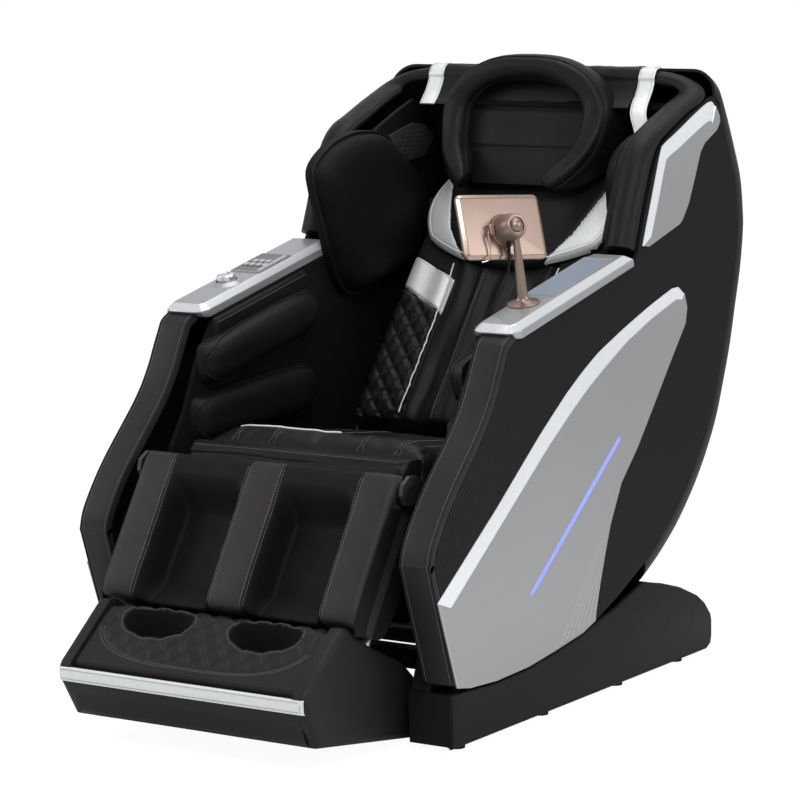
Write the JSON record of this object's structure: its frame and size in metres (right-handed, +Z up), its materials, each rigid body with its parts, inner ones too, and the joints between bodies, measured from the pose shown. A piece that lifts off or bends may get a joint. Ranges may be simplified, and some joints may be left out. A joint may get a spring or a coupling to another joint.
{
  "type": "massage chair",
  "caption": "Reclining massage chair: padded capsule on a curved track, powered leg rest with footrest, massage carriage, armrest controls and a tablet on a post.",
  "frame": {"origin": "centre of the footprint, on the floor", "axes": "+Z up, the chair faces -Y, +X is the sitter's left"},
  "size_m": [0.8, 1.555, 1.233],
  "materials": {
    "frame_steel": "semi-gloss",
    "base_plastic": "fine grain",
    "foot_rubber": "matte",
    "black_plastic": "matte",
    "wheel_rubber": "matte",
    "bright_steel": "ground",
    "shell_plastic": "soft satin",
    "ribbed_panel": "fine upright ribs",
    "silver_paint": "satin",
    "led": "lit",
    "black_leather": "soft gloss, fine grain",
    "matte_leather": "matte",
    "lining_leather": "matte",
    "neck_leather": "with silver wings",
    "silver_leather": "metallic",
    "arm_silver": "satin",
    "grille": "ribbed",
    "display_glass": "gloss",
    "tray_inlay": "satin",
    "kneading_plastic": "smooth",
    "rose_metal": "satin metallic",
    "cord_rubber": "matte",
    "button_grey": "satin"
  },
  "bodies": {
    "base": {"base_frame": "frame_steel", "base_sides": "base_plastic", "base_rear_cover": "base_plastic", "base_feet": "foot_rubber", "power_box": "base_plastic", "mains_inlet": "black_plastic"},
    "power_switch": {"power_switch": "black_plastic"},
    "wheels": {"transport_wheels": "wheel_rubber"},
    "capsule": {"seat_frame": "frame_steel", "back_frame": "frame_steel", "back_rods": "bright_steel", "back_shell": "shell_plastic", "side_panel_left": "ribbed_panel", "side_panel_right": "ribbed_panel", "fenders": "silver_paint", "led_strips": "led", "upper_trims": "silver_paint", "front_bands": "black_leather", "armrest_left": "arm_silver", "armrest_right": "arm_silver", "arm_inners": "black_plastic", "arm_pads": "black_leather", "shoulder_pads": "matte_leather", "speaker_grilles": "grille", "hood_rim": "black_leather", "hood_lining": "lining_leather", "seat_cushion": "black_leather", "seat_apron": "black_leather", "back_pad": "black_leather", "neck_flap": "neck_leather", "head_pillow": "black_leather", "head_straps": "silver_leather", "control_display": "display_glass", "charge_tray": "tray_inlay", "tilt_motor": "frame_steel", "air_pump": "frame_steel", "tablet_cord": "cord_rubber"},
    "rollers_front": {"track_rollers_front": "bright_steel"},
    "rollers_rear": {"track_rollers_rear": "bright_steel"},
    "massage_carriage": {"massage_carriage": "frame_steel"},
    "massage_heads": {"massage_heads": "kneading_plastic"},
    "leg_rest": {"calf_frame": "frame_steel", "calf_pad": "black_leather"},
    "footrest": {"footrest_shell": "shell_plastic", "foot_pad": "black_leather"},
    "sole_roller": {"sole_roller": "kneading_plastic"},
    "tablet_post": {"tablet_post": "rose_metal"},
    "tablet": {"tablet_case": "rose_metal", "tablet_plug": "black_plastic"},
    "knob": {"control_knob": "arm_silver"},
    "button_1": {"button_1": "button_grey"},
    "button_2": {"button_2": "button_grey"},
    "button_3": {"button_3": "button_grey"},
    "button_4": {"button_4": "button_grey"},
    "button_5": {"button_5": "button_grey"},
    "button_6": {"button_6": "button_grey"},
    "button_7": {"button_7": "button_grey"}
  },
  "joints": [
    {"name": "capsule_tilt", "type": "hinge", "parent": "base", "child": "capsule", "pos_m": [0, 0.051, 0.775], "axis": [-1, 0, 0], "range_deg": [0, 24]},
    {"name": "track_roller_front_spin", "type": "hinge", "parent": "capsule", "child": "rollers_front", "pos_m": [0, 0.0748, 0.09342], "axis": [-1, 0, 0], "continuous": true},
    {"name": "track_roller_rear_spin", "type": "hinge", "parent": "capsule", "child": "rollers_rear", "pos_m": [0, 0.23898, 0.11942], "axis": [-1, 0, 0], "continuous": true},
    {"name": "leg_rest_raise", "type": "hinge", "parent": "capsule", "child": "leg_rest", "pos_m": [0, -0.467, 0.475], "axis": [-1, 0, 0], "range_deg": [0, 60]},
    {"name": "footrest_slide", "type": "slide", "parent": "leg_rest", "child": "footrest", "axis": [0, -0.5284, -0.849], "range_m": [0, 0.12]},
    {"name": "sole_roller_spin", "type": "hinge", "parent": "footrest", "child": "sole_roller", "pos_m": [0, -0.462, 0.07], "axis": [1, 0, 0], "continuous": true},
    {"name": "carriage_slide", "type": "slide", "parent": "capsule", "child": "massage_carriage", "axis": [0, 0.6212, 0.7837], "range_m": [0, 0.34]},
    {"name": "massage_head_rock", "type": "hinge", "parent": "massage_carriage", "child": "massage_heads", "pos_m": [0, 0.29912, 0.50367], "axis": [1, 0, 0], "range_deg": [-8, 8]},
    {"name": "tablet_swivel", "type": "hinge", "parent": "capsule", "child": "tablet_post", "pos_m": [0.34, -0.13143, 0.76178], "axis": [0, -0.2199, 0.9755], "range_deg": [-60, 60], "deforming": ["tablet_cord"]},
    {"name": "tablet_tilt", "type": "hinge", "parent": "tablet_post", "child": "tablet", "pos_m": [0.34, -0.171, 0.93737], "axis": [0.3907, 0.9205, 0], "range_deg": [-2, 12], "deforming": ["tablet_cord"]},
    {"name": "knob_turn", "type": "hinge", "parent": "capsule", "child": "knob", "pos_m": [-0.347, -0.11679, 0.76508], "axis": [0, -0.2199, 0.9755], "continuous": true},
    {"name": "power_switch_rock", "type": "hinge", "parent": "base", "child": "power_switch", "pos_m": [0, 0.564, 0.054], "axis": [1, 0, 0], "range_deg": [0, 12]},
    {"name": "transport_wheels_spin", "type": "hinge", "parent": "base", "child": "wheels", "pos_m": [0, 0.545, 0.024], "axis": [1, 0, 0], "continuous": true},
    {"name": "button_1_press", "type": "slide", "parent": "capsule", "child": "button_1", "axis": [0, 0.2199, -0.9755], "range_m": [0, 0.0008], "stiffness_N_per_m": 300, "springref_m": -0.0002},
    {"name": "button_2_press", "type": "slide", "parent": "capsule", "child": "button_2", "axis": [0, 0.2199, -0.9755], "range_m": [0, 0.0008], "stiffness_N_per_m": 300, "springref_m": -0.0002},
    {"name": "button_3_press", "type": "slide", "parent": "capsule", "child": "button_3", "axis": [0, 0.2199, -0.9755], "range_m": [0, 0.0008], "stiffness_N_per_m": 300, "springref_m": -0.0002},
    {"name": "button_4_press", "type": "slide", "parent": "capsule", "child": "button_4", "axis": [0, 0.2199, -0.9755], "range_m": [0, 0.0008], "stiffness_N_per_m": 300, "springref_m": -0.0002},
    {"name": "button_5_press", "type": "slide", "parent": "capsule", "child": "button_5", "axis": [0, 0.2199, -0.9755], "range_m": [0, 0.0008], "stiffness_N_per_m": 300, "springref_m": -0.0002},
    {"name": "button_6_press", "type": "slide", "parent": "capsule", "child": "button_6", "axis": [0, 0.2199, -0.9755], "range_m": [0, 0.0008], "stiffness_N_per_m": 300, "springref_m": -0.0002},
    {"name": "button_7_press", "type": "slide", "parent": "capsule", "child": "button_7", "axis": [0, 0.2199, -0.9755], "range_m": [0, 0.0008], "stiffness_N_per_m": 300, "springref_m": -0.0002}
  ],
  "couplings": [
    {"joint": "track_roller_front_spin", "follows": "capsule_tilt", "ratio": -39.548},
    {"joint": "track_roller_rear_spin", "follows": "capsule_tilt", "ratio": -39.548},
    {"joint": "footrest_slide", "follows": "leg_rest_raise", "m_per_rad": 0.11458}
  ]
}
